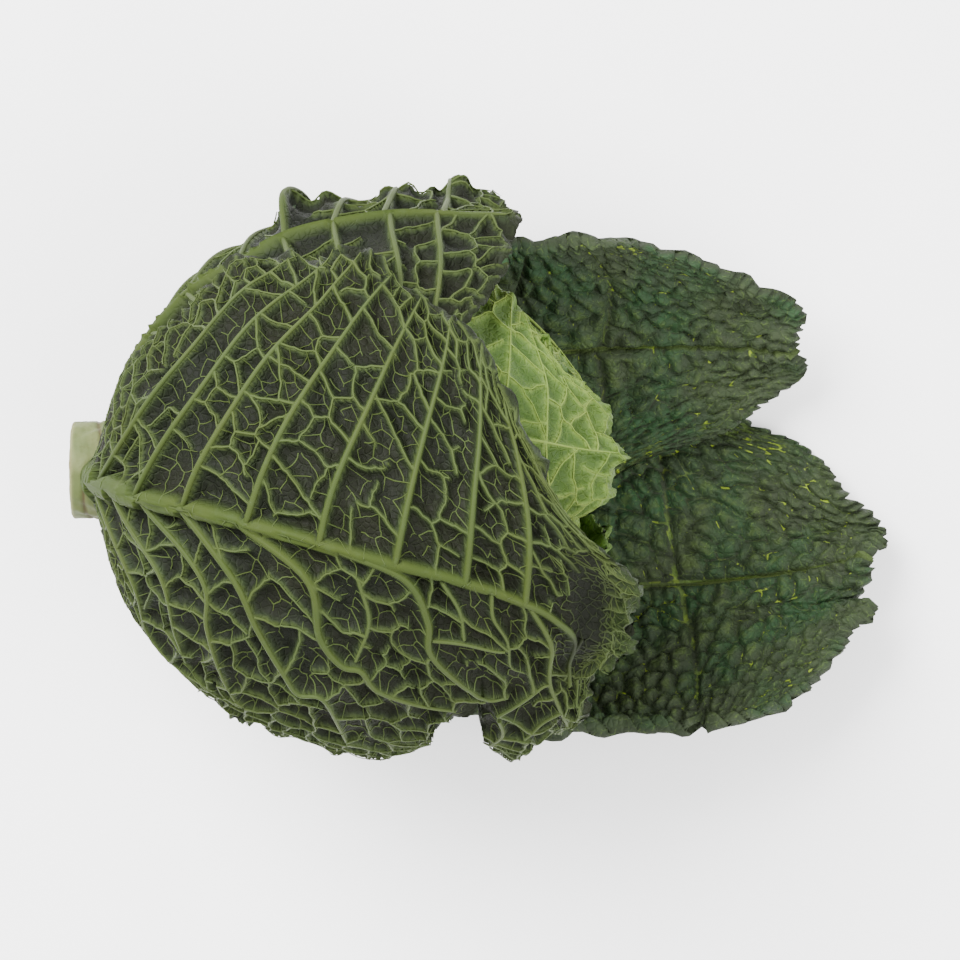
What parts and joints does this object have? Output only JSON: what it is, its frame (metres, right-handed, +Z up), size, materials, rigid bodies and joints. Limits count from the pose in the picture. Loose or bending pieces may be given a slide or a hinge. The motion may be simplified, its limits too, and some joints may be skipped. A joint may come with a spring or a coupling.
{
  "type": "savoy cabbage",
  "caption": "Whole savoy cabbage lying on its side: cut stalk, tight heart, crinkled crown leaves and loose dark outer leaves with raised net veins.",
  "frame": {"origin": "middle of the flat spot that the head rests on, straight below the centre of the head", "axes": "+Z up from the surface that the cabbage lies on, +X along the head's axis from the cut stalk towards the crown"},
  "size_m": [0.2486, 0.1714, 0.1684],
  "materials": {
    "outer_leaf": "waxy crinkled leaf, dark green with pale green veins",
    "crown_leaf": "waxy crinkled leaf, yellow green with cream veins",
    "heart": "waxy pale yellow green leaf",
    "stalk": "smooth pale green rind with a dry cut face"
  },
  "bodies": {
    "root": {"stalk": "stalk", "heart": "heart", "front_wrapper_leaf": "outer_leaf", "spread_leaf": "outer_leaf", "upper_wrapper_leaf": "outer_leaf", "lower_wrapper_leaf": "outer_leaf", "back_leaf": "outer_leaf", "crown_leaf_1": "crown_leaf", "crown_leaf_2": "crown_leaf", "crown_leaf_3": "crown_leaf", "crown_leaf_4": "crown_leaf"}
  },
  "joints": []
}
